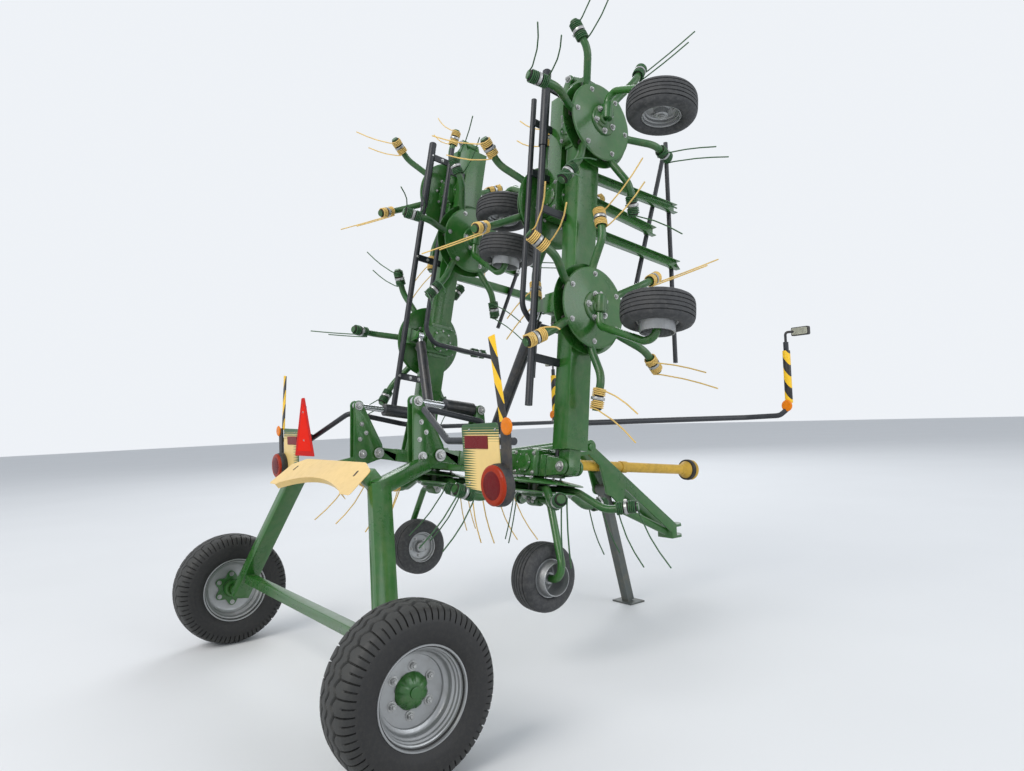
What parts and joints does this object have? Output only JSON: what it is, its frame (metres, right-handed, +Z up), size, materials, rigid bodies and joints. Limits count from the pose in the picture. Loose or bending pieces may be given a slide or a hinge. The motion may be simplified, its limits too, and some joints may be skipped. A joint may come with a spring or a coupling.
{
  "type": "hay tedder",
  "caption": "Trailed rotary hay tedder folded upright for the road, with wing beams, spring tine rotors, gauge wheels, transport axle and drawbar",
  "frame": {"origin": "on the floor, at the middle of the machine's whole width and length; its centre line runs at x = -91 mm, because only the right wing carries gauge wheels on its outside", "axes": "+X to the machine's right, +Y forward to the hitch, +Z up"},
  "size_m": [3.188, 3.9461, 4.1838],
  "materials": {
    "green": "gloss paint",
    "grey": "zinc grey",
    "anthracite": "satin powder coat",
    "yellow": "plain",
    "cream": "gloss paint",
    "green_spring": "gloss paint on spring steel",
    "lens": "clear lens over a grey housing",
    "stripe": "yellow and black stripes",
    "reflector": "reflective sheet",
    "silver": "silver paint",
    "tyre": "moulded rubber",
    "black": "gloss paint",
    "chrome": "hard chrome"
  },
  "bodies": {
    "frame": {"centre_frame": "green", "main_gearbox": "grey", "drawbar": "green", "drive_shaft": "yellow", "gauge_legs_centre": "green", "marker_arms": "anthracite", "lamp_boards": "cream", "tail_lamps": "lens", "warning_posts": "stripe", "front_lamps": "lens", "warning_triangle": "reflector"},
    "wing_right": {"wing_beam_right": "green", "wing_guard_right": "anthracite", "gauge_legs_right": "green"},
    "outer_right": {"outer_arm_right": "green", "outer_rail_right": "anthracite", "gauge_legs_right_outer": "green"},
    "wing_left": {"wing_beam_left": "green", "wing_guard_left": "anthracite"},
    "outer_left": {"outer_arm_left": "green", "outer_rail_left": "anthracite", "gauge_legs_left_outer": "green"},
    "rotor_right_inner": {"rotor_right_inner": "green", "tines_right_inner": "cream"},
    "gauge_wheel_right_inner": {"gauge_wheel_right_inner": "tyre"},
    "rotor_right_middle": {"rotor_right_middle": "green", "tines_right_middle": "green_spring"},
    "gauge_wheel_right_middle": {"gauge_wheel_right_middle": "tyre"},
    "rotor_right_outer": {"rotor_right_outer": "green", "tines_right_outer": "cream"},
    "gauge_wheel_right_outer": {"gauge_wheel_right_outer": "tyre"},
    "rotor_right_centre": {"rotor_right_centre": "green", "tines_right_centre": "green_spring"},
    "gauge_wheel_right_centre": {"gauge_wheel_right_centre": "tyre"},
    "rotor_left_inner": {"rotor_left_inner": "green", "tines_left_inner": "green_spring"},
    "rotor_left_middle": {"rotor_left_middle": "green", "tines_left_middle": "cream"},
    "rotor_left_outer": {"rotor_left_outer": "green", "tines_left_outer": "green_spring"},
    "gauge_wheel_left_outer": {"gauge_wheel_left_outer": "tyre"},
    "rotor_left_centre": {"rotor_left_centre": "green", "tines_left_centre": "cream"},
    "gauge_wheel_left_centre": {"gauge_wheel_left_centre": "tyre"},
    "chassis": {"chassis": "green", "cover": "cream"},
    "wheel_right": {"tyre_right": "tyre", "rim_right": "silver"},
    "wheel_left": {"tyre_left": "tyre", "rim_left": "silver"},
    "stand": {"stand": "grey"},
    "lift_barrels": {"lift_barrels": "black"},
    "lift_rods": {"lift_rods": "chrome"},
    "fold_barrel_right": {"fold_barrel_right": "black"},
    "fold_rod_right": {"fold_rod_right": "chrome"},
    "fold_barrel_left": {"fold_barrel_left": "black"},
    "fold_rod_left": {"fold_rod_left": "chrome"}
  },
  "joints": [
    {"name": "right_wing_fold", "type": "hinge", "parent": "frame", "child": "wing_right", "pos_m": [0.79, -0.276, 1.199], "axis": [0, 0.9856, -0.1693], "range_deg": [0, 93.4]},
    {"name": "right_outer_fold", "type": "hinge", "parent": "wing_right", "child": "outer_right", "pos_m": [0.54833, 0.15587, 3.71232], "axis": [0, 0.9856, -0.1693], "range_deg": [0, 180]},
    {"name": "left_wing_fold", "type": "hinge", "parent": "frame", "child": "wing_left", "pos_m": [-0.972, -0.276, 1.199], "axis": [0, -0.9856, 0.1693], "range_deg": [0, 93.4]},
    {"name": "left_outer_fold", "type": "hinge", "parent": "wing_left", "child": "outer_left", "pos_m": [-0.73033, 0.15587, 3.71232], "axis": [0, -0.9856, 0.1693], "range_deg": [0, 180]},
    {"name": "chassis_lift", "type": "hinge", "parent": "frame", "child": "chassis", "pos_m": [-0.091, -0.881, 1.301], "axis": [-1, 0, 0], "range_deg": [0, 25]},
    {"name": "stand_fold", "type": "hinge", "parent": "frame", "child": "stand", "pos_m": [-0.091, 0.869, 0.912], "axis": [-1, 0, 0], "range_deg": [0, 65]},
    {"name": "right_wheel_spin", "type": "hinge", "parent": "chassis", "child": "wheel_right", "pos_m": [1.199, -1.597, 0.376], "axis": [-1, 0, 0], "continuous": true},
    {"name": "left_wheel_spin", "type": "hinge", "parent": "chassis", "child": "wheel_left", "pos_m": [-1.381, -1.597, 0.376], "axis": [-1, 0, 0], "continuous": true},
    {"name": "right_inner_rotor_spin", "type": "hinge", "parent": "wing_right", "child": "rotor_right_inner", "pos_m": [0.89843, -0.11391, 2.14229], "axis": [-0.9982, -0.01, -0.0584], "continuous": true},
    {"name": "right_inner_gauge_spin", "type": "hinge", "parent": "wing_right", "child": "gauge_wheel_right_inner", "pos_m": [1.38799, -0.13019, 2.04754], "axis": [-0.0593, 0.1691, 0.9838], "continuous": true},
    {"name": "right_middle_rotor_spin", "type": "hinge", "parent": "wing_right", "child": "rotor_right_middle", "pos_m": [0.82607, 0.09233, 3.34255], "axis": [-0.9982, -0.01, -0.0584], "continuous": true},
    {"name": "right_middle_gauge_spin", "type": "hinge", "parent": "wing_right", "child": "gauge_wheel_right_middle", "pos_m": [1.31564, 0.07605, 3.24781], "axis": [-0.0593, 0.1691, 0.9838], "continuous": true},
    {"name": "right_outer_rotor_spin", "type": "hinge", "parent": "outer_right", "child": "rotor_right_outer", "pos_m": [0.34295, 0.01316, 2.88183], "axis": [0.9982, 0.01, 0.0584], "continuous": true},
    {"name": "right_outer_gauge_spin", "type": "hinge", "parent": "outer_right", "child": "gauge_wheel_right_outer", "pos_m": [-0.14851, 0.03485, 3.00806], "axis": [0.0593, -0.1691, -0.9838], "continuous": true},
    {"name": "left_inner_rotor_spin", "type": "hinge", "parent": "wing_left", "child": "rotor_left_inner", "pos_m": [-1.08043, -0.11391, 2.14229], "axis": [0.9982, -0.01, -0.0584], "continuous": true},
    {"name": "left_middle_rotor_spin", "type": "hinge", "parent": "wing_left", "child": "rotor_left_middle", "pos_m": [-1.00807, 0.09233, 3.34255], "axis": [0.9982, -0.01, -0.0584], "continuous": true},
    {"name": "left_outer_rotor_spin", "type": "hinge", "parent": "outer_left", "child": "rotor_left_outer", "pos_m": [-0.52495, 0.01316, 2.88183], "axis": [-0.9982, 0.01, 0.0584], "continuous": true},
    {"name": "left_outer_gauge_spin", "type": "hinge", "parent": "outer_left", "child": "gauge_wheel_left_outer", "pos_m": [-0.05211, -0.01823, 2.69914], "axis": [-0.0593, -0.1691, -0.9838], "continuous": true},
    {"name": "right_centre_rotor_spin", "type": "hinge", "parent": "frame", "child": "rotor_right_centre", "pos_m": [0.519, -0.30394, 1.03638], "axis": [0, 0.1693, 0.9856], "continuous": true},
    {"name": "right_centre_gauge_spin", "type": "hinge", "parent": "frame", "child": "gauge_wheel_right_centre", "pos_m": [0.644, -0.38574, 0.56036], "axis": [1, 0, 0], "continuous": true},
    {"name": "left_centre_rotor_spin", "type": "hinge", "parent": "frame", "child": "rotor_left_centre", "pos_m": [-0.701, -0.30394, 1.03638], "axis": [0, 0.1693, 0.9856], "continuous": true},
    {"name": "left_centre_gauge_spin", "type": "hinge", "parent": "frame", "child": "gauge_wheel_left_centre", "pos_m": [-0.826, -0.38574, 0.56036], "axis": [1, 0, 0], "continuous": true},
    {"name": "lift_barrel_turn", "type": "hinge", "parent": "frame", "child": "lift_barrels", "pos_m": [-0.091, -0.57588, 1.55594], "axis": [-1, 0, 0], "range_deg": [0, 9.02]},
    {"name": "lift_rod_slide", "type": "slide", "parent": "lift_barrels", "child": "lift_rods", "axis": [0, -0.9888, 0.1494], "range_m": [-0.13878, 0]},
    {"name": "right_fold_barrel_turn", "type": "hinge", "parent": "frame", "child": "fold_barrel_right", "pos_m": [0.269, -0.44771, 1.3807], "axis": [0, 0.9856, -0.1693], "range_deg": [0, 67.23]},
    {"name": "right_fold_rod_slide", "type": "slide", "parent": "fold_barrel_right", "child": "fold_rod_right", "axis": [0.4182, 0.1538, 0.8952], "range_m": [0, 0.59951]},
    {"name": "left_fold_barrel_turn", "type": "hinge", "parent": "frame", "child": "fold_barrel_left", "pos_m": [-0.451, -0.44771, 1.3807], "axis": [0, -0.9856, 0.1693], "range_deg": [0, 67.23]},
    {"name": "left_fold_rod_slide", "type": "slide", "parent": "fold_barrel_left", "child": "fold_rod_left", "axis": [-0.4182, 0.1538, 0.8952], "range_m": [0, 0.59951]}
  ],
  "couplings": [
    {"joint": "right_outer_fold", "follows": "right_wing_fold", "ratio": 1.9272},
    {"joint": "left_wing_fold", "follows": "right_wing_fold", "ratio": 1},
    {"joint": "left_outer_fold", "follows": "right_wing_fold", "ratio": 1.9272},
    {"joint": "left_centre_rotor_spin", "follows": "right_centre_rotor_spin", "ratio": -1},
    {"joint": "right_middle_rotor_spin", "follows": "right_inner_rotor_spin", "ratio": -1},
    {"joint": "left_middle_rotor_spin", "follows": "left_inner_rotor_spin", "ratio": -1},
    {"joint": "lift_barrel_turn", "follows": "chassis_lift", "ratio": 0.36072},
    {"joint": "lift_rod_slide", "follows": "chassis_lift", "m_per_rad": -0.31805},
    {"joint": "right_fold_barrel_turn", "follows": "right_wing_fold", "ratio": 0.71975},
    {"joint": "right_fold_rod_slide", "follows": "right_wing_fold", "m_per_rad": 0.36776},
    {"joint": "left_fold_barrel_turn", "follows": "right_wing_fold", "ratio": 0.71975},
    {"joint": "left_fold_rod_slide", "follows": "right_wing_fold", "m_per_rad": 0.36776}
  ]
}
